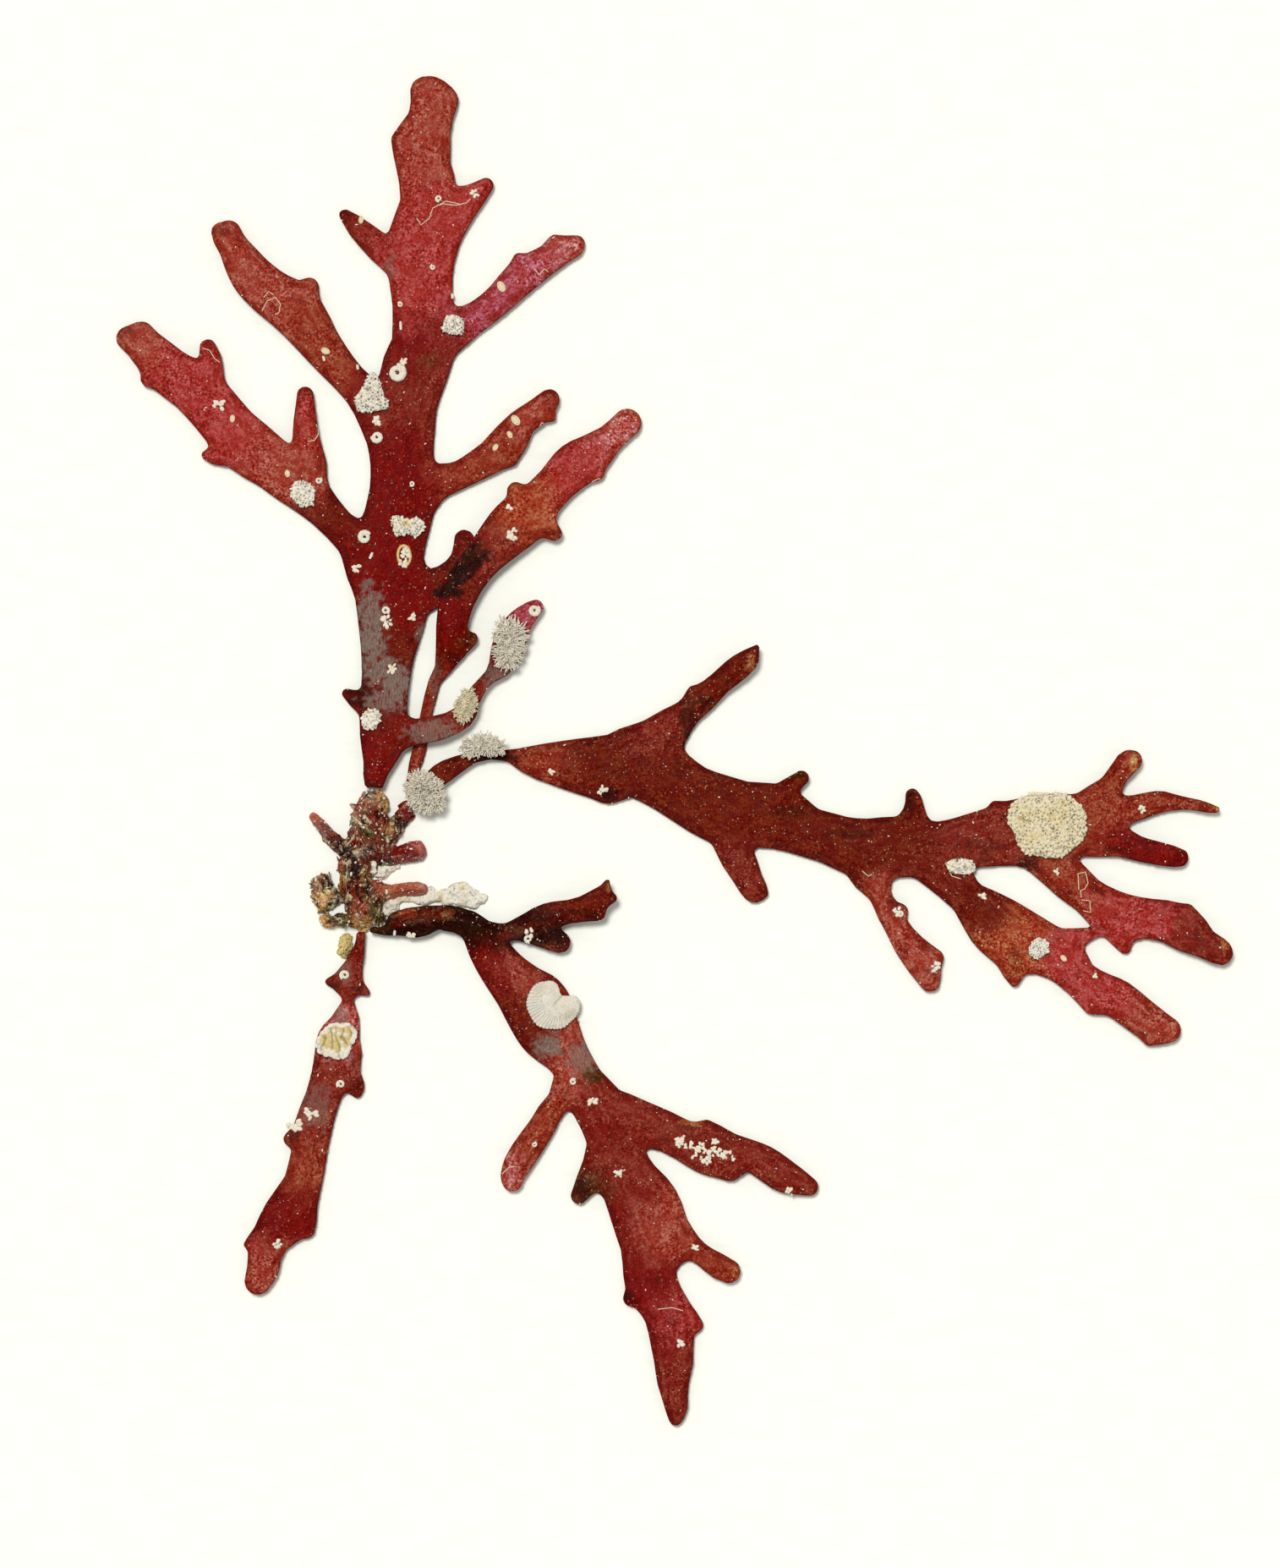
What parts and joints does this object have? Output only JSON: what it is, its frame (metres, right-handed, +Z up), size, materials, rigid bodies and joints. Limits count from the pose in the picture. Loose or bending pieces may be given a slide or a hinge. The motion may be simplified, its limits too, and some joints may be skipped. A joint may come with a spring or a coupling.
{
  "type": "pressed red seaweed",
  "caption": "Dried, pressed red seaweed lying flat: dark red forked fronds with blunt lobes spring from a knobbly holdfast, dotted with pale crusts, tufts and coiled worm tubes.",
  "frame": {"origin": "centre of the bounding box on the surface it lies on", "axes": "+Z up from the surface, +Y along the tall main frond towards its tip, +X towards the end of the right frond"},
  "size_m": [0.1118, 0.1352, 0.0032],
  "materials": {
    "thallus": "dried, satin, fine grained",
    "holdfast": "rough, crusted",
    "crust": "matt, cellular",
    "tuft": "matt, matted filaments",
    "sponge": "matt, porous",
    "shell": "chalky"
  },
  "bodies": {
    "root": {"bead_cluster": "crust", "cell_crust": "crust", "clump_fuzz": "tuft", "cream_bead": "sponge", "fan_crust": "crust", "foot_crust": "crust", "fork_bead_crust": "crust", "fork_crust": "crust", "fuzzy_crust": "tuft", "grey_tuft": "tuft", "holdfast": "holdfast", "left_clump": "tuft", "left_crust": "crust", "lower_frond": "thallus", "main_frond": "thallus", "middle_crust": "crust", "neck_tuft": "tuft", "notched_disc": "shell", "right_crust": "crust", "right_frond": "thallus", "side_crust": "crust", "slender_frond": "thallus", "small_frond": "thallus", "sponge_tuft": "sponge", "stem_sponge": "sponge", "worm_tube_a": "shell", "worm_tube_b": "shell", "worm_tube_c": "shell", "worm_tube_d": "shell"}
  },
  "joints": []
}
